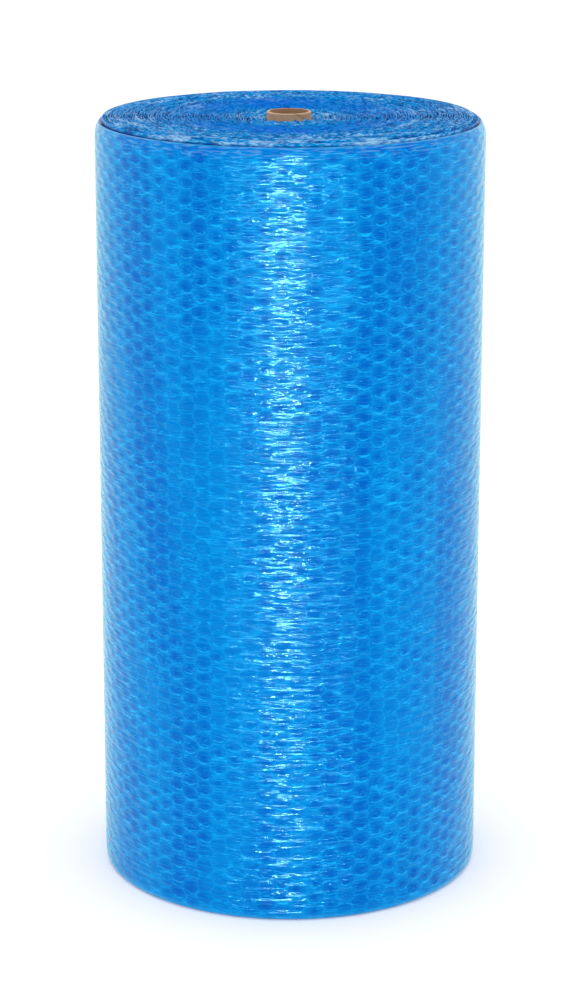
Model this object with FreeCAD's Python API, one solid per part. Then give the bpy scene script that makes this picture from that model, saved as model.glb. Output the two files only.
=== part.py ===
import FreeCAD, Part

import math
import os

# A roll of bubble film standing on its end: one long web of film with air
# bubbles on its inner side, wound in a spiral on a paperboard core tube.
# Lengths are in millimetres and directions in degrees. The origin is on the
# core's axis, in the plane that the roll stands on, and +Z runs up the axis.

# Web of bubble film
turn_pitch = 6.5
turn_gap = 1.2
column_pitch = 20.7
column_dip = 0.6
tail_edge = 1.0
tail_direction = 100.0

# Finished roll
roll_diameter = 500.0
roll_height = 1005.0
crown_radius = 200.0
dish_depth = 6.0
shoulder_depth = 18.0
shoulder_height = 25.0
foot_depth = 8.0
foot_height = 12.0

# Paperboard core tube
core_bore = 50.0
core_wall = 3.5
core_proud = 3.5
core_edge = 0.8
wrap_clearance = 0.3

# Sizes worked out from the ones above
full_turn = 2 * math.pi
roll_radius = roll_diameter / 2
core_radius = core_bore / 2 + core_wall
core_length = roll_height + core_proud
web_thickness = turn_pitch - turn_gap
largest_sag = turn_gap / 2


def face_radius(turned):
    """Radius of the web's outer face, turned radians in from the tail."""
    return roll_radius + turn_pitch / 2 - turn_pitch * turned / full_turn


def bend_angles():
    """Angles in from the tail at which the web's section bends.

    The turn that shows bends at the crest of each column of bubbles and in
    the dip beside it. Under it the flats are as long as they can be without
    touching the next turn.
    """
    innermost = core_radius + wrap_clearance + largest_sag + web_thickness
    last = full_turn * (face_radius(0) - innermost) / turn_pitch
    angles = [0.0]
    while angles[-1] < last:
        radius = face_radius(angles[-1])
        if angles[-1] < full_turn:
            step = column_pitch / 2 / radius
        else:
            step = 2 * math.acos(1 - largest_sag / radius)
        angles.append(min(angles[-1] + step, last))
    return angles


def outer_radii(angles):
    """Radii of the web's outer face at its bends, with the columns' dips."""
    radii = [face_radius(turned) for turned in angles]
    for k in range(0, len(angles), 2):
        if angles[k] < full_turn:
            radii[k] -= column_dip
    # The tail is cut between bubbles, so its edge is thin and lies down flat.
    radii[0] = face_radius(0) - web_thickness + tail_edge
    return radii


def rounding_drop(radius, depth, height):
    """How far a quarter-round rim has fallen away at a radius of the roll."""
    across = max(0.0, (radius - roll_radius + depth) / depth)
    return height * (1 - math.sqrt(max(0.0, 1 - across ** 2)))


def top_level(radius):
    """Level of the top end: a rounded shoulder, a crown and a shallow dish."""
    dish = dish_depth * max(0.0, crown_radius - radius) / (crown_radius - core_radius)
    return roll_height - dish - rounding_drop(radius, shoulder_depth, shoulder_height)


def foot_level(radius):
    """Level of the end that the roll stands on: flat, with a rounded rim."""
    return rounding_drop(radius, foot_depth, foot_height)


def edge_line(angles, radii, level):
    """Bends of one of the web's long edges, from its tail to the core."""
    points = []
    for turned, radius in zip(angles, radii):
        angle = math.radians(tail_direction) - turned
        across = radius * math.cos(angle)
        along = radius * math.sin(angle)
        points.append(FreeCAD.Vector(across, along, level(radius)))
    return points


def facet(corners):
    """Flat face with the given corners."""
    return Part.Face(Part.makePolygon(corners + corners[:1]))


def bubble_film():
    """The whole web as it lies on the roll, closed flat by flat.

    Its outer and inner walls and its two ends run between four long edges.
    A wall's flat stands upright and stays one face. An end's flat is twisted
    by its slope, so it is two triangles.
    """
    angles = bend_angles()
    outside = outer_radii(angles)
    inside = [face_radius(turned) - web_thickness for turned in angles]
    edges = [
        edge_line(angles, outside, foot_level),
        edge_line(angles, outside, top_level),
        edge_line(angles, inside, top_level),
        edge_line(angles, inside, foot_level),
    ]
    outer_wall, top_end, inner_wall, foot_end = zip(edges, edges[1:] + edges[:1])

    faces = [facet([edge[0] for edge in edges]), facet([edge[-1] for edge in edges])]
    for k in range(len(angles) - 1):
        for near, far in (outer_wall, inner_wall):
            faces.append(facet([near[k], near[k + 1], far[k + 1], far[k]]))
        for near, far in (top_end, foot_end):
            faces.append(facet([near[k], near[k + 1], far[k + 1]]))
            faces.append(facet([near[k], far[k + 1], far[k]]))
    skin = Part.makeShell(faces)
    skin.sewShape()
    return Part.Solid(skin)


def core_tube():
    """Paperboard tube, open from end to end, its outer edges slightly broken."""
    tube = Part.makeCylinder(core_radius, core_length)
    rims = [edge for edge in tube.Edges if edge.Closed]
    tube = tube.makeChamfer(core_edge, rims)
    return tube.cut(Part.makeCylinder(core_bore / 2, core_length))


def main():
    os.makedirs("parts", exist_ok=True)
    nodes = {"core_tube": core_tube(), "bubble_film": bubble_film()}
    for name, shape in nodes.items():
        shape.Solids[0].exportStep(f"parts/{name}.step")
        print(name, "solids", len(shape.Solids), "valid", shape.isValid(),
              "faces", len(shape.Faces), "volume", round(shape.Volume / 1e9, 5))


main()
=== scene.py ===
# %% [markdown]
# # A roll of bubble film, standing on its end
#
# The real object is one long web of translucent blue film, wound in a spiral on
# a paperboard core tube. From a step away three things make it what it is: the
# lattice of bubbles under a glossy skin, the cut edges of the turns on the top
# end, and the brown mouth of the core in the middle.
#
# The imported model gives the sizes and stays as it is. This lesson builds the
# looks around it, in metres, in the same place.

# %% Load the frame
import bpy
import math
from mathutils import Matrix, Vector
from types import SimpleNamespace


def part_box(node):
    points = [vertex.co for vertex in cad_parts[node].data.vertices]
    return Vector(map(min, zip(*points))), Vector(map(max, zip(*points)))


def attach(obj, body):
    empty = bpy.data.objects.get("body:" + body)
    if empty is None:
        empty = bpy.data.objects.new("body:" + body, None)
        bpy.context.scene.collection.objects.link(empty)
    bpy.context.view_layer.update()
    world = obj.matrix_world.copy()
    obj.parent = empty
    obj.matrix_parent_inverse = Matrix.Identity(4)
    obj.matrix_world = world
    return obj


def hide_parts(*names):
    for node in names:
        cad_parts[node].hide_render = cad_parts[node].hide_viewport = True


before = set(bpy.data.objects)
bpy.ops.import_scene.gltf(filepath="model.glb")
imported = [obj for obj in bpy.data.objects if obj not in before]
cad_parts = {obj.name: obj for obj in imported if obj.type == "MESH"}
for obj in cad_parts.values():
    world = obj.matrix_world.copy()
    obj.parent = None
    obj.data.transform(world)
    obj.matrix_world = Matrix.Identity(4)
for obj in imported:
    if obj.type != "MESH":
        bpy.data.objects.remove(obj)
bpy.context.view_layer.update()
FILM_NODE = "bubble_film"
CORE_NODE = "core_tube"
film_low, film_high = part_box(FILM_NODE)
core_low, core_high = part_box(CORE_NODE)
print("film", film_low, film_high, "core", core_low, core_high)

# %% [markdown]
# ## Sizes
#
# The overall sizes come from the frame. The rest are the sizes of the film that
# the model was drawn with: its pitch from turn to turn, the pitch of its
# bubbles, and the rounding of the two rims. The outermost turn has a whole
# number of bubble columns, so that the pattern meets itself at the loose end.

# %% Sizes
MM = 0.001
FULL_TURN = 2 * math.pi
ROLL_HEIGHT = film_high.z
CORE_RADIUS = core_high.x
TURN_PITCH = 6.5 * MM
TAIL_RADIUS = 253.25 * MM
TAIL_DIRECTION = math.radians(100)
ROLL_RADIUS = TAIL_RADIUS - TURN_PITCH / 2
CROWN_RADIUS = 200 * MM
DISH_DEPTH = 6 * MM
DISH_SLOPE = DISH_DEPTH / (CROWN_RADIUS - CORE_RADIUS)
SHOULDER_DEPTH = 18 * MM
SHOULDER_HEIGHT = 25 * MM
SHOULDER_START = ROLL_RADIUS - SHOULDER_DEPTH
FOOT_DEPTH = 8 * MM
FOOT_HEIGHT = 12 * MM
BUBBLE_COLUMNS = 76
BUBBLE_ROWS = 47
BUBBLE_PITCH = FULL_TURN * ROLL_RADIUS / BUBBLE_COLUMNS
ROW_PITCH = ROLL_HEIGHT / BUBBLE_ROWS
print("bubble pitch round", BUBBLE_PITCH, "up", ROW_PITCH)

# %% [markdown]
# ## Node trees written as sums
#
# Both the shapes and the finishes below are made of node trees. A tree of Math
# nodes is hard to read as links, and easy to read as a sum, so one small class
# wraps a socket and turns each operator into its node. Every node comes from
# one method, `add`, which sets the node's settings first and then its sockets.

# %% Sums of sockets
class Socket:
    """One output of a node tree, which can be added, scaled and compared."""

    def __init__(self, tree, socket):
        self.tree = tree
        self.socket = socket

    def math(self, operation, *others):
        """A Math node on this number and up to two more."""
        return add(self.tree, "ShaderNodeMath", {"operation": operation},
                   dict(enumerate((self, *others))))

    def math_after(self, operation, first):
        """A Math node on another number and then this one."""
        return add(self.tree, "ShaderNodeMath", {"operation": operation},
                   {0: first, 1: self})

    def __add__(self, other):
        return self.math("ADD", other)

    def __radd__(self, other):
        return self.math("ADD", other)

    def __sub__(self, other):
        return self.math("SUBTRACT", other)

    def __rsub__(self, other):
        return self.math_after("SUBTRACT", other)

    def __mul__(self, other):
        return self.math("MULTIPLY", other)

    def __rmul__(self, other):
        return self.math("MULTIPLY", other)

    def __truediv__(self, other):
        return self.math("DIVIDE", other)

    def __rtruediv__(self, other):
        return self.math_after("DIVIDE", other)

    def __pow__(self, other):
        return self.math("POWER", other)

    def between(self, low, high):
        """0 at low and under, 1 at high and over, smooth between them."""
        return add(self.tree, "ShaderNodeMapRange", {"interpolation_type": "SMOOTHSTEP"},
                   {"Value": self, "From Min": low, "From Max": high})


def put(tree, target, value):
    """Links a Socket to a node's input, or sets the input to a plain value."""
    if isinstance(value, Socket):
        tree.links.new(value.socket, target)
    else:
        target.default_value = value


def add(tree, kind, settings=None, inputs=None, output=0):
    """Any node: its settings are set first, then its inputs are put in.

    An input or the output is given by its name or by its place in the row.
    """
    node = tree.nodes.new(kind)
    for name, value in (settings or {}).items():
        setattr(node, name, value)
    for name, value in (inputs or {}).items():
        put(tree, node.inputs[name], value)
    return Socket(tree, node.outputs[output]) if node.outputs else None


print("node sums ready")


# %% Vectors, noise and colours
def parts_of(tree, vector):
    """The three numbers of a vector."""
    split = add(tree, "ShaderNodeSeparateXYZ", None, {"Vector": vector})
    return [Socket(tree, output) for output in split.socket.node.outputs]


def vector_of(tree, x, y, z):
    """A vector made of three numbers."""
    return add(tree, "ShaderNodeCombineXYZ", None, {"X": x, "Y": y, "Z": z})


def noise_at(tree, place, detail, scale=1.0):
    """Noise at a place, about 0.5 in the mean."""
    return add(tree, "ShaderNodeTexNoise", None,
               {"Vector": place, "Scale": scale, "Detail": detail})


def noise_along(tree, way):
    """Noise along a line, about 0.5 in the mean."""
    return add(tree, "ShaderNodeTexNoise", {"noise_dimensions": "1D"},
               {"W": way, "Scale": 1.0})


def mix_colour(tree, share, first, second):
    """A colour that goes from first to second as share goes from 0 to 1.

    A Mix node has its sockets for numbers, vectors and colours in one row. The
    share is at place 0 and the two colours are at places 6 and 7.
    """
    return add(tree, "ShaderNodeMix", {"data_type": "RGBA"},
               {0: share, 6: first, 7: second}, output=2)


print("vectors, noise and colours ready")

# %% [markdown]
# ## Where a point lies on the lattice
#
# The bubbles stand in upright columns, and every second column is shifted by
# half a bubble. Each point of the skin carries its place on that lattice in a
# UV map: U counts columns round the roll and V counts rows up it. A few sums
# turn U and V into the way to the middle of the bubble in the point's own
# column. Two more helpers use it: one gives the distance to the nearest bubble,
# for the colour, and one a low ridge along each bubble, for the shape and gloss.

# %% Lattice sums
ROUND_WEIGHT = 0.75
RIDGE_BLEND = (0.15, 0.5)


def lattice(u, v):
    """The way to the bubble in the point's own column, across and up, in bubbles."""
    column = u.math("FLOOR")
    across = u - column - 0.5
    odd = column.math("FLOORED_MODULO", 2.0)
    up = (v + odd * 0.5).math("FRACT") - 0.5
    return across, up


def nearest_bubble(across, up, aside, above):
    """Squared distance to the nearest bubble's middle, with the place bent a little.

    A point near a column's border may lie nearer to a bubble of the next
    column, so the smaller of two distances counts, and no border shows.
    """
    beside = across - across.math("SIGN")
    own = (up + above + 0.5).math("FRACT") - 0.5
    shifted = (up + above + 1.0).math("FRACT") - 0.5
    here = (across + aside) * (across + aside) * ROUND_WEIGHT + own * own
    there = (beside + aside) * (beside + aside) * ROUND_WEIGHT + shifted * shifted
    return here.math("MINIMUM", there)


def ridge_over(across, up):
    """A low ridge lying along each bubble: 1 at its crest, 0 between the rows.

    Towards the next column, which is shifted by half a bubble, it runs over
    into that column's own ridge.
    """
    own = 1 - up * up * 4.0
    shifted = (up + 1.0).math("FRACT") - 0.5
    neighbour = 1 - shifted * shifted * 4.0
    beside = across.math("ABSOLUTE").between(*RIDGE_BLEND) * 0.5
    return own + (neighbour - own) * beside


print("lattice ready")

# %% [markdown]
# ## The wound skin
#
# The outermost turn hides the whole height of the roll, so one skin stands for
# the wound film: up the wall, over the soft shoulder, across the top end under
# the cut edges, and back under the foot. It is swept round one turn of the
# spiral, from the loose end at the back to the place where that end lies down
# on the turn below, so the step of one turn's thickness is really there.
#
# The plain sweep is a list of rings made in Python. The bubbles follow a rule,
# so a Geometry Nodes tree presses them into the sweep afterwards.

# %% Outline of the skin
STEPS_PER_BUBBLE = 5
RIM_STEPS = 6
CORE_GAP = 1 * MM
END_RECESS = 9 * MM
END_SHARES = (0.85, 0.6, 0.4, 0.2)
LIP_TURN = math.radians(47)
LIP_INSET = 1.5 * MM
LIP_RADIUS = ROLL_RADIUS - SHOULDER_DEPTH * (1 - math.cos(LIP_TURN))


def end_level(radius):
    """Level of the skin on the top end, which lies under the cut edges."""
    across = min(1.0, max(0.0, (radius - SHOULDER_START) / SHOULDER_DEPTH))
    drop = SHOULDER_HEIGHT * (1 - math.sqrt(1 - across ** 2))
    dish = DISH_SLOPE * max(0.0, CROWN_RADIUS - radius)
    return ROLL_HEIGHT - dish - drop - END_RECESS


def skin_profile():
    """Radius and level of the skin's outline, from the foot's middle to the top's."""
    inner = CORE_RADIUS + CORE_GAP
    points = [(inner, 0.0), ((inner + ROLL_RADIUS) / 2, 0.0)]
    for k in range(RIM_STEPS):
        turn = math.pi / 2 * k / RIM_STEPS
        radius = ROLL_RADIUS - FOOT_DEPTH + FOOT_DEPTH * math.sin(turn)
        points.append((radius, FOOT_HEIGHT * (1 - math.cos(turn))))
    wall_top = ROLL_HEIGHT - SHOULDER_HEIGHT
    wall_height = wall_top - FOOT_HEIGHT
    steps = round(wall_height / ROW_PITCH * STEPS_PER_BUBBLE)
    for k in range(steps + 1):
        points.append((ROLL_RADIUS, FOOT_HEIGHT + wall_height * k / steps))
    for k in range(1, RIM_STEPS + 1):
        turn = LIP_TURN * k / RIM_STEPS
        radius = SHOULDER_START + SHOULDER_DEPTH * math.cos(turn)
        points.append((radius, wall_top + SHOULDER_HEIGHT * math.sin(turn)))
    lip = radius - LIP_INSET
    for share in (1.0, *END_SHARES, 0.0):
        radius = inner + (lip - inner) * share
        points.append((radius, end_level(radius)))
    return points


def lattice_rows(profile):
    """V of each point of the outline: its way up the roll, in rows of bubbles."""
    along = [0.0]
    for (r0, z0), (r1, z1) in zip(profile, profile[1:]):
        along.append(along[-1] + math.hypot(r1 - r0, z1 - z0))
    wall_start = next(k for k, (_, level) in enumerate(profile) if level >= FOOT_HEIGHT)
    base = along[wall_start] - FOOT_HEIGHT
    return [(way - base) / ROW_PITCH for way in along]


outline = skin_profile()
print("outline of", len(outline), "points, lip at", LIP_RADIUS)

# %% Sweep of the skin
DRIFT_POWER = 8


def new_object(name, data):
    """An object of the given mesh, light or camera, put into the scene."""
    made = bpy.data.objects.new(name, data)
    bpy.context.scene.collection.objects.link(made)
    return made


def skin_ring(profile, turned):
    """The outline, turned radians in from the loose end.

    The wall comes nearer to the core as the spiral does. The further in a
    point lies on the two ends, the less it moves.
    """
    angle = TAIL_DIRECTION - turned
    drift = TURN_PITCH * (0.5 - turned / FULL_TURN)
    points = []
    for radius, level in profile:
        share = (radius - CORE_RADIUS) / (ROLL_RADIUS - CORE_RADIUS)
        radius += drift * max(0.0, share) ** DRIFT_POWER
        points.append((radius * math.cos(angle), radius * math.sin(angle), level))
    return points


def sweep_skin(name, profile):
    """The skin's rings joined into one closed mesh, with its lattice UV map.

    The last ring is joined to the first, and that strip is the step down from
    the loose end to the turn below.
    """
    steps = BUBBLE_COLUMNS * STEPS_PER_BUBBLE
    rings = steps + 1
    count = len(profile)
    rows = lattice_rows(profile)
    vertices, faces, places = [], [], []
    for i in range(rings):
        vertices += skin_ring(profile, FULL_TURN * i / steps)
        ring, next_ring = i * count, (i + 1) % rings * count
        u = i / STEPS_PER_BUBBLE
        next_u = (i + 1) / STEPS_PER_BUBBLE if next_ring else u
        for j in range(count):
            k = (j + 1) % count
            faces.append((ring + j, ring + k, next_ring + k, next_ring + j))
            places += [(u, rows[j]), (u, rows[k]), (next_u, rows[k]), (next_u, rows[j])]
    mesh = bpy.data.meshes.new(name)
    mesh.from_pydata(vertices, [], faces)
    uv = mesh.uv_layers.new(name="lattice")
    for corner, place in zip(uv.data, places):
        corner.uv = place
    return new_object(name, mesh)


skin = sweep_skin("wound_film_skin", outline)
print("skin", len(skin.data.vertices), "points", len(skin.data.polygons), "faces")

# %% [markdown]
# ## The film's finish
#
# The film is polyethylene tinted sky blue. Over a bubble the eye looks into a
# deep pocket of blue air and film, and the middle of a bubble is painted darker:
# painted shade of that depth. Round it lies a paler net where the two films are
# welded together. A bright arc on the lower rim of many bubbles and thin pale
# lines along the wrinkles are painted highlights. Upright bands of painted shade
# make parts of the wall darker.
#
# Such film could be made see-through. Then the plain turns below it would show,
# and the export would lose the look. So the shade of its depth and some of its
# highlights are painted in the colour, and the real gloss lies on the surface.

# %% Colours of the film
# The darkest blue: painted shade in the pockets and bands, and dark streaks on the shoulder.
SHADE_AND_STREAK_BLUE = (0.0, 0.093, 0.46, 1)
FILM_BLUE = (0.0, 0.166, 0.55, 1)
# The weld blue colours the welded net and the foot, and also the painted highlights.
WELD_AND_GLINT_BLUE = (0.005, 0.410, 0.86, 1)
PALE_FILM = (0.27, 0.50, 0.73, 1)
# Painted shade for the skin down under the cut edges.
GAP_SHADE_BLUE = (0.0, 0.045, 0.24, 1)
print("film goes from", SHADE_AND_STREAK_BLUE, "over", FILM_BLUE, "to", WELD_AND_GLINT_BLUE)

# %% Wrinkles and clouds
# Wrinkles to a bubble, round the roll and up it, and their layer of the noise.
WRINKLES = (0.34, 4.4, 0.0)
SLACK = (0.38, 3.0, 5.0)
CREASES = (0.4, 1.2, 7.0)
GRAIN = (1.2, 9.0, 3.0)
BANDS = (0.35, 0.03, 11.0)
WRINKLE_DETAIL = 0.7
CLOUD_SCALE, CLOUD_DETAIL = 7.0, 3.0
# Rows of the lattice: where the bubbles end, and where the skin turns in.
LAST_BUBBLES = (46.1, 47.1)
LIP_ROW = 46.7


def film_marks(tree):
    """Everything that the film's colour and relief are worked out from."""
    u, v, _ = parts_of(tree, add(tree, "ShaderNodeUVMap", {"uv_map": "lattice"}))
    across, up = lattice(u, v)
    objects = add(tree, "ShaderNodeTexCoord", output="Object")

    def wrinkled(per_column, per_row, layer):
        """Noise that is finer up the roll than round it, as in a tight web."""
        return noise_at(tree, vector_of(tree, u * per_column, v * per_row, layer),
                        WRINKLE_DETAIL)

    return SimpleNamespace(
        v=v,
        across=across,
        up=up,
        bubbles=1 - v.between(*LAST_BUBBLES),
        clouds=noise_at(tree, objects, CLOUD_DETAIL, CLOUD_SCALE),
        wrinkles=wrinkled(*WRINKLES),
        slack=wrinkled(*SLACK),
        creases=wrinkled(*CREASES),
        grain=wrinkled(*GRAIN),
        bands=wrinkled(*BANDS),
    )


print("wrinkles ready")

# %% Colour of the film
# A rim is where a mark fades, in bubbles or in the noise that it comes from.
# Pockets and bands are painted shade.
POCKET_RIM, POCKET_SHADE_STRENGTH = (0.06, 0.33), 0.9
POCKET_CLOUDS, POCKET_SHIFT_ROUND, POCKET_SHIFT_UP = (0.35, 0.6), 0.6, 0.7
BAND_RIM, BAND_SHADE_STRENGTH = (0.38, 0.62), 0.6
NET_RIM, NET_STRENGTH = (0.15, 0.25), 0.2
# The arc, wrinkle and slack lines below are painted highlights.
ARC_LEVEL, ARC_BEND, ARC_WAVER = 0.36, 0.9, 0.25
ARC_RIM, ARC_ENDS, ARC_CLOUDS, ARC_GLINT_STRENGTH = (0.01, 0.07), (0.3, 0.45), (0.35, 0.55), 0.6
WRINKLE_LINES, WRINKLE_RIM, WRINKLE_GLINT_STRENGTH = 8.0, (0.38, 0.49), 0.6
WRINKLE_CREASES = (0.42, 0.6)
SLACK_LINES, SLACK_RIM, SLACK_GLINT_STRENGTH = 6.0, (0.36, 0.48), 0.25
FOOT_ROWS, FOOT_STRENGTH = (-0.2, 0.8), 0.6
SHOULDER_ROWS = (LIP_ROW - 0.9, LIP_ROW - 0.3)
SHOULDER_DARK, SHOULDER_DARK_STRENGTH = (0.5, 0.6), 0.35
SHOULDER_PALE, SHOULDER_PALE_STRENGTH = (0.5, 0.62), 0.2
# Rows past the lip, under the cut edges, get painted shade.
GAP_SHADE_ROWS = (LIP_ROW + 0.1, LIP_ROW + 0.3)


def contours(noise, lines, rim):
    """Thin lines where the noise crosses one of its levels, 1 in their middle."""
    return ((noise * lines).math("FRACT") - 0.5).math("ABSOLUTE").between(*rim)


def film_colour(tree, marks):
    """Blue film with its welds and rims, painted shade and painted highlights."""
    v, across, clouds = marks.v, marks.across, marks.clouds
    nearest = nearest_bubble(across, marks.up,
                             (marks.creases - 0.5) * POCKET_SHIFT_ROUND,
                             (marks.slack - 0.5) * POCKET_SHIFT_UP)
    # Painted shade: darker bubble middles and darker upright bands.
    pocket = (1 - nearest.math("SQRT").between(*POCKET_RIM)) * marks.bubbles
    shade = pocket * clouds.between(*POCKET_CLOUDS) * POCKET_SHADE_STRENGTH
    shade = shade + marks.bands.between(*BAND_RIM) * BAND_SHADE_STRENGTH
    colour = mix_colour(tree, shade.math("MINIMUM", 1.0), FILM_BLUE, SHADE_AND_STREAK_BLUE)

    # Painted highlights: thin pale lines along the wrinkles and a bright arc on each bubble's
    # lower rim, with the welded net.
    crests = contours(marks.wrinkles, WRINKLE_LINES, WRINKLE_RIM)
    lines = crests * marks.creases.between(*WRINKLE_CREASES) * WRINKLE_GLINT_STRENGTH
    lines = lines + contours(marks.slack, SLACK_LINES, SLACK_RIM) * SLACK_GLINT_STRENGTH
    bow = marks.up + ARC_LEVEL - across * across * ARC_BEND
    bow = bow + (marks.grain - 0.5) * ARC_WAVER
    arc = 1 - bow.math("ABSOLUTE").between(*ARC_RIM)
    arc = arc * (1 - across.math("ABSOLUTE").between(*ARC_ENDS))
    lines = lines + arc * clouds.between(*ARC_CLOUDS) * ARC_GLINT_STRENGTH
    lines = (lines + nearest.between(*NET_RIM) * NET_STRENGTH) * marks.bubbles
    colour = mix_colour(tree, lines.math("MINIMUM", 1.0), colour, WELD_AND_GLINT_BLUE)

    foot = (1 - v.between(*FOOT_ROWS)) * FOOT_STRENGTH
    colour = mix_colour(tree, foot, colour, WELD_AND_GLINT_BLUE)
    shoulder = v.between(*SHOULDER_ROWS)
    dark = shoulder * marks.slack.between(*SHOULDER_DARK) * SHOULDER_DARK_STRENGTH
    colour = mix_colour(tree, dark, colour, SHADE_AND_STREAK_BLUE)
    pale = shoulder * marks.grain.between(*SHOULDER_PALE) * SHOULDER_PALE_STRENGTH
    colour = mix_colour(tree, pale, colour, PALE_FILM)
    # Painted shade: the skin under the cut edges is nearly black blue.
    return mix_colour(tree, v.between(*GAP_SHADE_ROWS), colour, GAP_SHADE_BLUE)


print("film colour ready")

# %% [markdown]
# The gloss is that of thin plastic, in two shells: the tight outer film, which
# follows the bubbles, and the slacker one under it, with wrinkles of its own.
# Both tint what they mirror. Towards the borders of the roll the eye looks
# along the wrinkles, and there a sheen makes the film paler.

# %% Gloss and relief of the film
GLOSS_TINT = (0.10, 0.75, 1.0, 1)
GLOSS_LEVEL = 0.13
SHEEN_LEVEL = 0.45
SHEEN_SPREAD = 0.45
SHEEN_TINT = (0.05, 0.72, 0.55, 1)
FILM_IOR = 1.5
OUTER_ROUGHNESS = 0.04
UNDER_ROUGHNESS = 0.07
CREASE_ROUGHNESS = 0.06
UNDER_SHARE = 0.4
# Heights of the relief in millimetres, for the outer film and the one under it.
LEAST_RIDGE, RIDGE_RELIEF = 0.6, 0.8
WRINKLE_RELIEF, CREASE_RELIEF, GRAIN_RELIEF = 2.0, 1.8, 0.15
UNDER_SLACK_RELIEF, UNDER_RIDGE_RELIEF, UNDER_GRAIN_RELIEF = -3.0, 0.8, 0.2


def new_material(name):
    """An empty node material and its tree."""
    material = bpy.data.materials.new(name)
    material.use_nodes = True
    material.node_tree.nodes.clear()
    return material, material.node_tree


def film_shell(tree, colour, creases, relief, roughness):
    """One glossy film: its colour, its relief in metres and how rough it is."""
    bump = add(tree, "ShaderNodeBump", None,
               {"Strength": 1.0, "Distance": 1.0, "Height": relief})
    return add(tree, "ShaderNodeBsdfPrincipled", None, {
        "Base Color": colour,
        "Roughness": creases * CREASE_ROUGHNESS + roughness,
        "IOR": FILM_IOR,
        "Specular IOR Level": GLOSS_LEVEL,
        "Specular Tint": GLOSS_TINT,
        "Sheen Weight": SHEEN_LEVEL,
        "Sheen Roughness": SHEEN_SPREAD,
        "Sheen Tint": SHEEN_TINT,
        "Normal": bump,
    })


def film_material():
    """The skin's blue film, with its lattice of bubbles under it."""
    material, tree = new_material("blue_bubble_film")
    marks = film_marks(tree)
    colour = film_colour(tree, marks)
    ridge = ridge_over(marks.across, marks.up) * marks.bubbles
    relief = ridge * (LEAST_RIDGE + marks.clouds) * RIDGE_RELIEF
    relief = relief + marks.wrinkles * WRINKLE_RELIEF + marks.creases * CREASE_RELIEF
    relief = (relief + marks.grain * GRAIN_RELIEF) * MM
    outer = film_shell(tree, colour, marks.creases, relief, OUTER_ROUGHNESS)
    relief = marks.slack * UNDER_SLACK_RELIEF - ridge * UNDER_RIDGE_RELIEF
    relief = (relief + marks.grain * UNDER_GRAIN_RELIEF) * MM
    under = film_shell(tree, colour, marks.creases, relief, UNDER_ROUGHNESS)
    both = add(tree, "ShaderNodeMixShader", None, {0: UNDER_SHARE, 1: outer, 2: under})
    add(tree, "ShaderNodeOutputMaterial", None, {"Surface": both})
    return material


film = film_material()
skin.data.materials.append(film)
print("film finish made")

# %% [markdown]
# ## Bubbles pressed into the skin
#
# The outer film is flat and lies over the bubbles, so it is only gently
# quilted: a low swelling along each bubble and a dip between the rows. The tree
# reads the UV map, takes the same ridge that the gloss uses, and moves each
# point along its normal. It fades out towards both rims, where the web has a
# plain margin.

# %% Building and running a Geometry Nodes tree
def new_tree(name, sizes):
    """A Geometry Nodes tree with one geometry input and the named sizes."""
    tree = bpy.data.node_groups.new(name, "GeometryNodeTree")
    tree.interface.new_socket("Geometry", in_out="INPUT", socket_type="NodeSocketGeometry")
    for label, value in sizes.items():
        socket = tree.interface.new_socket(label, in_out="INPUT", socket_type="NodeSocketFloat")
        socket.default_value = value
    tree.interface.new_socket("Geometry", in_out="OUTPUT", socket_type="NodeSocketGeometry")
    outputs = add(tree, "NodeGroupInput").socket.node.outputs
    return tree, {socket.name: Socket(tree, socket) for socket in outputs if socket.name}


def close_tree(tree, geometry, material):
    """Ends a tree in Realize Instances and Set Material."""
    real = add(tree, "GeometryNodeRealizeInstances", None, {"Geometry": geometry})
    painted = add(tree, "GeometryNodeSetMaterial", None,
                  {"Geometry": real, "Material": material})
    add(tree, "NodeGroupOutput", None, {"Geometry": painted})


def run_tree(piece, tree, sizes):
    """Runs a tree on a piece and keeps the result as the piece's plain mesh."""
    modifier = piece.modifiers.new(tree.name, "NODES")
    modifier.node_group = tree
    for item in tree.interface.items_tree:
        if item.in_out == "INPUT" and item.name in sizes:
            modifier[item.identifier] = sizes[item.name]
    graph = bpy.context.evaluated_depsgraph_get()
    made = bpy.data.meshes.new_from_object(
        piece.evaluated_get(graph), preserve_all_data_layers=True, depsgraph=graph)
    piece.modifiers.clear()
    plain = piece.data
    piece.data = made
    bpy.data.meshes.remove(plain)
    print(piece.name, len(made.polygons), "faces")


print("tree helpers ready")

# %% Quilting of the skin
QUILT = {"Bubble height": 0.9 * MM, "Low margin": 0.2, "High margin": LAST_BUBBLES[1]}


def quilt_tree(material):
    """Raises a low swelling on the skin over every bubble."""
    tree, given = new_tree("quilt_bubbles", QUILT)
    place = add(tree, "GeometryNodeInputNamedAttribute", {"data_type": "FLOAT_VECTOR"},
                {"Name": "lattice"})
    u, v, _ = parts_of(tree, place)
    margin = v.between(given["Low margin"], given["Low margin"] + 1.0)
    margin = margin * (1 - v.between(given["High margin"] - 1.0, given["High margin"]))
    lift = (ridge_over(*lattice(u, v)) - 0.5) * given["Bubble height"] * margin
    offset = add(tree, "ShaderNodeVectorMath", {"operation": "SCALE"},
                 {0: add(tree, "GeometryNodeInputNormal"), "Scale": lift})
    moved = add(tree, "GeometryNodeSetPosition", None,
                {"Geometry": given["Geometry"], "Offset": offset})
    close_tree(tree, moved, material)
    return tree


run_tree(skin, quilt_tree(film), QUILT)
skin.data.shade_smooth()

# %% [markdown]
# ## Cut edges of the turns
#
# On the top end the web's edge shows as a spiral. Each turn is two films: the
# outer one is smooth, and the inner one is blown into bubbles, so the slitting
# knife leaves it as a row of scallops. Both are thin ribbons swept along the
# same spiral, one straight and one with a wave, and a little noise lets some
# turns stand higher than others. The outermost turns are held down by the one
# that shows, so they lie calmer.

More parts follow.
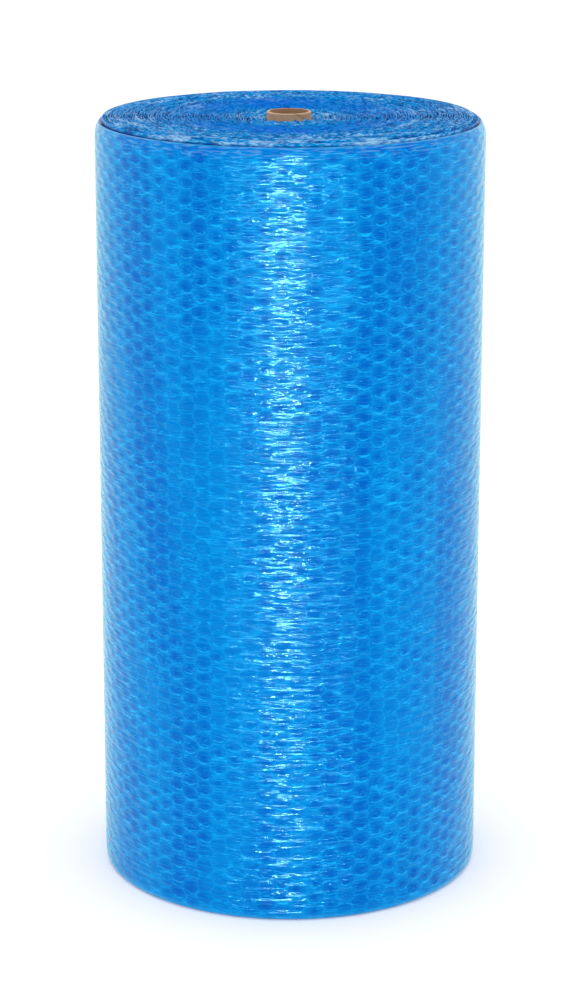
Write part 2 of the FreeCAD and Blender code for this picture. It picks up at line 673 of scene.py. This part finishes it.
# %% Sizes of the cut edges
EDGES = {
    "Start radius": LIP_RADIUS - 1 * MM,
    "End radius": CORE_RADIUS + 3 * MM,
    "Turn pitch": TURN_PITCH,
    "Bubble pitch": BUBBLE_PITCH,
    "Wave height": 0.0,
    "Film thickness": 0.35 * MM,
    "Film width": 14 * MM,
    "Inset": 0.0,
    "Unevenness": 3.5 * MM,
    "Teeth": 3.0 * MM,
    "Waviness": 3.0 * MM,
}
SCALLOPED = {
    "Wave height": 5.2 * MM,
    "Inset": 0.5 * MM,
    "Film width": 12 * MM,
    "Teeth": 9 * MM,
    "Waviness": 0.6 * MM,
}
STRAIGHT_POINTS_PER_BUBBLE = 2
SCALLOP_POINTS_PER_BUBBLE = 8
CALM_RADII = (ROLL_RADIUS - 50 * MM, ROLL_RADIUS - 15 * MM)
CALM_SHARE = 0.85
UNEVEN_ACROSS, UNEVEN_ROUND = 30.0, 1.2
CRUSHES_PER_BUBBLE = 0.9
TEETH_PER_BUBBLE = 2.3
SCALLOP_POWER = 0.6
LEAST_SCALLOP = 0.35

web_length = math.pi * (EDGES["Start radius"] ** 2 - EDGES["End radius"] ** 2) / TURN_PITCH
bubbles_along = web_length / BUBBLE_PITCH
print("web", web_length, "m long,", bubbles_along, "bubbles along it")


# %% Geometry Nodes for the cut edges
def edges_tree(name, points, material):
    """Sweeps a thin upright ribbon along the spiral of the turns."""
    tree, given = new_tree(name, EDGES)
    line = add(tree, "GeometryNodeCurvePrimitiveLine", None, {"End": (1.0, 0.0, 0.0)})
    line = add(tree, "GeometryNodeResampleCurve", None, {"Curve": line, "Count": points})
    share = add(tree, "GeometryNodeSplineParameter")

    # The web's length is the same area wound flat, so equal steps along it
    # are equal steps of the radius squared.
    start, end, pitch = given["Start radius"], given["End radius"], given["Turn pitch"]
    squared = start * start + (end * end - start * start) * share
    radius = squared.math("SQRT")
    turned = (start - radius) / pitch * FULL_TURN
    phase = (start * start - squared) * math.pi / pitch / given["Bubble pitch"]

    # How far each bit of the edge is crushed, pushed aside or torn.
    spot = vector_of(tree, radius * UNEVEN_ACROSS, turned * UNEVEN_ROUND, 0.0)
    uneven = noise_at(tree, spot, 2.0) - 0.5
    crush = noise_along(tree, phase * CRUSHES_PER_BUBBLE)
    tooth = noise_along(tree, phase * TEETH_PER_BUBBLE) - 0.5
    calm = 1 - radius.between(*CALM_RADII) * CALM_SHARE
    dome = (phase * math.pi).math("SINE").math("ABSOLUTE") ** SCALLOP_POWER
    wave = dome * given["Wave height"] * (crush + LEAST_SCALLOP)
    aside = (uneven + crush - 0.5) * given["Waviness"] * calm
    reach = radius - given["Inset"] - wave + aside

    # The level follows the dish and the shoulder of the top end.
    dish = (CROWN_RADIUS - radius).math("MAXIMUM", 0.0) * DISH_SLOPE
    across = ((radius - SHOULDER_START) / SHOULDER_DEPTH).math("MAXIMUM", 0.0)
    drop = (1 - (1 - across * across).math("SQRT")) * SHOULDER_HEIGHT
    level = ROLL_HEIGHT - dish - drop + uneven * given["Unevenness"] * calm * 2.0
    level = level + tooth * given["Teeth"] * calm - given["Film width"] * 0.5

    angle = TAIL_DIRECTION - turned
    position = vector_of(tree, reach * angle.math("COSINE"), reach * angle.math("SINE"), level)
    spiral = add(tree, "GeometryNodeSetPosition", None, {"Geometry": line, "Position": position})
    spiral = add(tree, "GeometryNodeStoreNamedAttribute",
                 {"data_type": "FLOAT", "domain": "POINT"},
                 {"Geometry": spiral, "Name": "middle_level", "Value": level})
    spiral = add(tree, "GeometryNodeSetCurveNormal", {"mode": "Z_UP"}, {"Curve": spiral})
    section = add(tree, "GeometryNodeCurvePrimitiveQuadrilateral", None,
                  {"Width": given["Film thickness"], "Height": given["Film width"]})
    ribbon = add(tree, "GeometryNodeCurveToMesh", None,
                 {"Curve": spiral, "Profile Curve": section, "Fill Caps": True})
    close_tree(tree, ribbon, material)
    return tree


print("edge tree ready")

# %% [markdown]
# The top end is seen along the turns, so its finish follows them: streaks and
# threads run round the roll, and fine flecks stand for the scallops' own folds.
# The film is painted deep blue down between the turns, as painted shade, and
# paler at the cut. Near the core and at the rim more of it is pale, and between
# them lies a quiet ring.

# %% Colours and radii of the cut edges
# The darkest edge blue is painted shade, down between the turns.
EDGE_SHADE_BLUE = (0.0, 0.030, 0.21, 1)
EDGE_BLUE = (0.0, 0.245, 0.62, 1)
QUIET_BLUE = (0.0, 0.12, 0.62, 1)
EDGE_GLOSS_LEVEL = 0.02
EDGE_ROUGHNESS = 0.25
CUT_RISE = (0.5 * MM, 6.5 * MM)
CORE_ZONE = (50 * MM, 80 * MM)
QUIET_ZONE = ((60 * MM, 80 * MM), (110 * MM, 150 * MM))
RIM_ZONE = (150 * MM, 230 * MM)
RING_ZONE = ((75 * MM, 100 * MM), (140 * MM, 180 * MM))
FRONT_TO_BACK = (-150 * MM, 150 * MM)
MOST_PALE = 0.85
# How fine the noise is: round the roll and across its turns, or across and up.
PATCHES, THREADS, FLECKS = (3.0, 110.0), (6.0, 330.0), (150.0, 500.0)
AREA_SCALE = 11.0
print("cut edges go from", EDGE_SHADE_BLUE, "over", EDGE_BLUE, "to", PALE_FILM)


# %% Finish of the cut edges
def zone(radius, rise, fall):
    """1 in a ring of the top end, fading out on both sides of it."""
    return radius.between(*rise) * (1 - radius.between(*fall))


def edge_material():
    """Film seen on its cut edge: painted shade deep blue down inside, paler at the cut."""
    material, tree = new_material("cut_edge_film")
    objects = add(tree, "ShaderNodeTexCoord", output="Object")
    x, y, z = parts_of(tree, objects)
    radius = (x * x + y * y).math("SQRT")
    east, north = x / radius, y / radius

    def stretched(first, second, third, fineness, detail):
        """Noise that is finer along its third direction than along the others."""
        coarse, fine = fineness
        place = vector_of(tree, first * coarse, second * coarse, third * fine)
        return noise_at(tree, place, detail)

    patches = stretched(east, north, radius, PATCHES, 4.0)
    threads = stretched(east, north, radius, THREADS, 2.0)
    flecks = stretched(x, y, z, FLECKS, 2.0)
    areas = noise_at(tree, objects, 1.0, AREA_SCALE)

    middle = add(tree, "ShaderNodeAttribute", {"attribute_name": "middle_level"}, output="Fac")
    # Painted shade: each ribbon is dark low down between the turns and lit at its cut.
    lit = (z - middle).between(*CUT_RISE)
    lit = lit * (1 - threads.between(0.5, 0.62) * 0.65)

    streaks = patches.between(0.48, 0.62) * (0.1 + areas.between(0.42, 0.6) * 1.2)
    streaks = streaks + flecks.between(0.52, 0.6) * 0.35
    near_core = 1 - radius.between(*CORE_ZONE)
    near_rim = radius.between(*RIM_ZONE) * (1 - y.between(*FRONT_TO_BACK) * 0.6)
    quiet = zone(radius, *QUIET_ZONE)
    pale = streaks * (0.7 + near_core * 0.6 + near_rim * 0.6 - quiet * 0.55)
    pale = pale * (0.35 + flecks.between(0.4, 0.55) * 0.65)

    lit = lit * (0.6 + flecks.between(0.36, 0.46) * 0.4)
    colour = mix_colour(tree, lit, EDGE_SHADE_BLUE, EDGE_BLUE)
    colour = mix_colour(tree, (pale * lit).math("MINIMUM", MOST_PALE), colour, PALE_FILM)
    plain = zone(radius, *RING_ZONE) * (0.25 + north * north * 0.75)
    plain = plain * (0.5 + areas.between(0.35, 0.6) * 0.5)
    colour = mix_colour(tree, plain * 0.7, colour, QUIET_BLUE)
    shader = add(tree, "ShaderNodeBsdfPrincipled", None, {
        "Base Color": colour,
        "Roughness": EDGE_ROUGHNESS,
        "IOR": FILM_IOR,
        "Specular IOR Level": EDGE_GLOSS_LEVEL,
        "Specular Tint": GLOSS_TINT,
    })
    add(tree, "ShaderNodeOutputMaterial", None, {"Surface": shader})
    return material


edge_film = edge_material()
print("edge finish made")


# %% The two ribbons
def cut_edge(name, points_per_bubble, changed):
    """One ribbon of film along the spiral."""
    piece = new_object(name, bpy.data.meshes.new(name))
    tree = edges_tree(name, round(bubbles_along * points_per_bubble), edge_film)
    run_tree(piece, tree, {**EDGES, **changed})
    return piece


flat_edges = cut_edge("cut_edges_outer_film", STRAIGHT_POINTS_PER_BUBBLE, {})
scalloped_edges = cut_edge("cut_edges_bubble_film", SCALLOP_POINTS_PER_BUBBLE, SCALLOPED)
scalloped_edges.data.shade_smooth()

# %% [markdown]
# ## The core tube
#
# The tube is plain brown paperboard, wound from strips. Its solid is already
# right, so it stays, and only its finish is made here: fibres run round it, a
# spiral seam shows where two strips meet, and the inside is darkened with
# painted shade.

# %% Paperboard finish
FIBRE_BROWN = (0.30, 0.165, 0.085, 1)
BOARD_BROWN = (0.56, 0.36, 0.21, 1)
BLOTCH_BROWN = (0.62, 0.43, 0.27, 1)
SEAM_BROWN = (0.16, 0.085, 0.04, 1)
BORE_SHADE_BROWN = (0.20, 0.09, 0.045, 1)
SEAM_PITCH = 90 * MM
SEAM_RIM = (0.485, 0.5)
BORE_RIM = (25.2 * MM, 26.2 * MM)
FIBRES_ROUND, FIBRES_UP = 60.0, 900.0
BOARD_ROUGHNESS = 0.85


def paperboard_material():
    """Brown paperboard with fibres and a spiral seam."""
    material, tree = new_material("brown_paperboard")
    objects = add(tree, "ShaderNodeTexCoord", output="Object")
    x, y, z = parts_of(tree, objects)
    fibres = vector_of(tree, x * FIBRES_ROUND, y * FIBRES_ROUND, z * FIBRES_UP)
    grain = noise_at(tree, fibres, 4.0, 4.0)
    blotches = noise_at(tree, objects, 2.0, 60.0)
    round_tube = y.math("ARCTAN2", x) / FULL_TURN
    seam = (z / SEAM_PITCH + round_tube).math("FRACT")
    groove = (seam - 0.5).math("ABSOLUTE").between(*SEAM_RIM)
    inside = 1 - (x * x + y * y).math("SQRT").between(*BORE_RIM)
    colour = mix_colour(tree, grain, FIBRE_BROWN, BOARD_BROWN)
    colour = mix_colour(tree, blotches.between(0.4, 0.7) * 0.3, colour, BLOTCH_BROWN)
    colour = mix_colour(tree, groove * 0.7, colour, SEAM_BROWN)
    # Painted shade inside the bore.
    colour = mix_colour(tree, inside * 0.45, colour, BORE_SHADE_BROWN)
    bump = add(tree, "ShaderNodeBump", None,
               {"Strength": 0.4, "Distance": 1 * MM, "Height": grain - groove})
    shader = add(tree, "ShaderNodeBsdfPrincipled", None,
                 {"Base Color": colour, "Roughness": BOARD_ROUGHNESS, "Normal": bump})
    add(tree, "ShaderNodeOutputMaterial", None, {"Surface": shader})
    return material


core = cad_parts[CORE_NODE]
core.data.materials.clear()
core.data.materials.append(paperboard_material())
print("core finish made")

# %% [markdown]
# ## Floor, light and camera
#
# The roll was photographed on white, with light from all sides. A white world
# and a large soft light overhead give that, on a floor large enough to fill the
# picture.
#
# The bright dashes down the middle come from low, wide soft lights in front,
# which the bubbles and wrinkles mirror. These show only in the gloss, so they
# don't flatten the colour, and they are warm because the film tints what it
# mirrors: the dashes come out nearly white.

# %% Floor
FLOOR_SIZE = 60.0
FLOOR_WHITE = (0.96, 0.96, 0.96, 1)
FLOOR_ROUGHNESS = 0.9


def make_floor():
    """A large pale floor under the roll."""
    bpy.ops.mesh.primitive_plane_add(size=FLOOR_SIZE, location=(0, 0, 0))
    floor = bpy.context.object
    floor.name = "floor"
    material, tree = new_material("pale_floor")
    shader = add(tree, "ShaderNodeBsdfPrincipled", None,
                 {"Base Color": FLOOR_WHITE, "Roughness": FLOOR_ROUGHNESS})
    add(tree, "ShaderNodeOutputMaterial", None, {"Surface": shader})
    floor.data.materials.append(material)
    return floor


floor = make_floor()
print("floor", FLOOR_SIZE, "m across")

# %% Lights
WHITE = (1.0, 1.0, 1.0)
SOFTBOX_WARMTH = (1.0, 0.35, 0.28)
STRIP_WARMTH = (0.9, 0.85, 0.8)
WORLD_STRENGTH = 1.12


def soft_light(name, place, target, size, radiance, colour=WHITE):
    """A soft light of size metres that faces its target, unseen by the camera."""
    light = bpy.data.lights.new(name, "AREA")
    light.shape = "RECTANGLE"
    light.size, light.size_y = size
    light.energy = radiance * math.pi * size[0] * size[1]
    light.color = colour
    lamp = new_object(name, light)
    lamp.location = place
    aim = Vector(target) - lamp.location
    lamp.rotation_euler = aim.to_track_quat("-Z", "Y").to_euler()
    lamp.visible_camera = False
    return lamp


def gloss_light(name, azimuth, distance, height, size, radiance, colour):
    """A soft light in front that shows only in gloss. Azimuth 0 is the camera's side."""
    turn = math.radians(azimuth)
    place = (distance * math.sin(turn), -distance * math.cos(turn), height)
    lamp = soft_light(name, place, (0, 0, height), size, radiance, colour)
    lamp.visible_diffuse = False
    return lamp


gloss_light("front_softbox", -3.2, 3.2, 0.34, (1.15, 0.26), 820, SOFTBOX_WARMTH)
gloss_light("front_strip", 0, 3.3, 0.30, (4.4, 0.30), 100, STRIP_WARMTH)
soft_light("overhead", (0, 0, 3.4), (0, 0, 0), (3.0, 3.0), 1.2)

world = bpy.data.worlds.new("white_studio")
world.use_nodes = True
background = world.node_tree.nodes["Background"]
background.inputs["Color"].default_value = (*WHITE, 1)
background.inputs["Strength"].default_value = WORLD_STRENGTH
bpy.context.scene.world = world
bpy.context.scene.view_settings.view_transform = "Standard"

# %% Camera
CAMERA_DISTANCE = 3.776
CAMERA_HEIGHT = 1.532
CAMERA_PITCH = math.radians(15.38)
PHOTO_HEIGHT = 1000
FOCAL_PIXELS = 2959.6
SENSOR = 36.0
AXIS_PIXELS_RIGHT = 7.8
SPIRAL_OFFSET = 1.6 * MM

camera_data = bpy.data.cameras.new("photo_camera")
camera_data.sensor_width = SENSOR
camera_data.lens = SENSOR * FOCAL_PIXELS / PHOTO_HEIGHT
camera = new_object("photo_camera", camera_data)
yaw = math.atan(AXIS_PIXELS_RIGHT / FOCAL_PIXELS)
camera.location = (SPIRAL_OFFSET, -CAMERA_DISTANCE, CAMERA_HEIGHT)
camera.rotation_euler = (math.pi / 2 - CAMERA_PITCH, 0, yaw)
bpy.context.scene.camera = camera
print("lens", camera_data.lens)

# %% [markdown]
# ## Tie the pieces to the part
#
# Every piece rides on the one body of the roll, and the film's pieces stand for
# the plain solid of the film, which is hidden.

# %% Frame calls
for piece in (skin, flat_edges, scalloped_edges):
    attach(piece, "root")
    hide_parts(FILM_NODE)
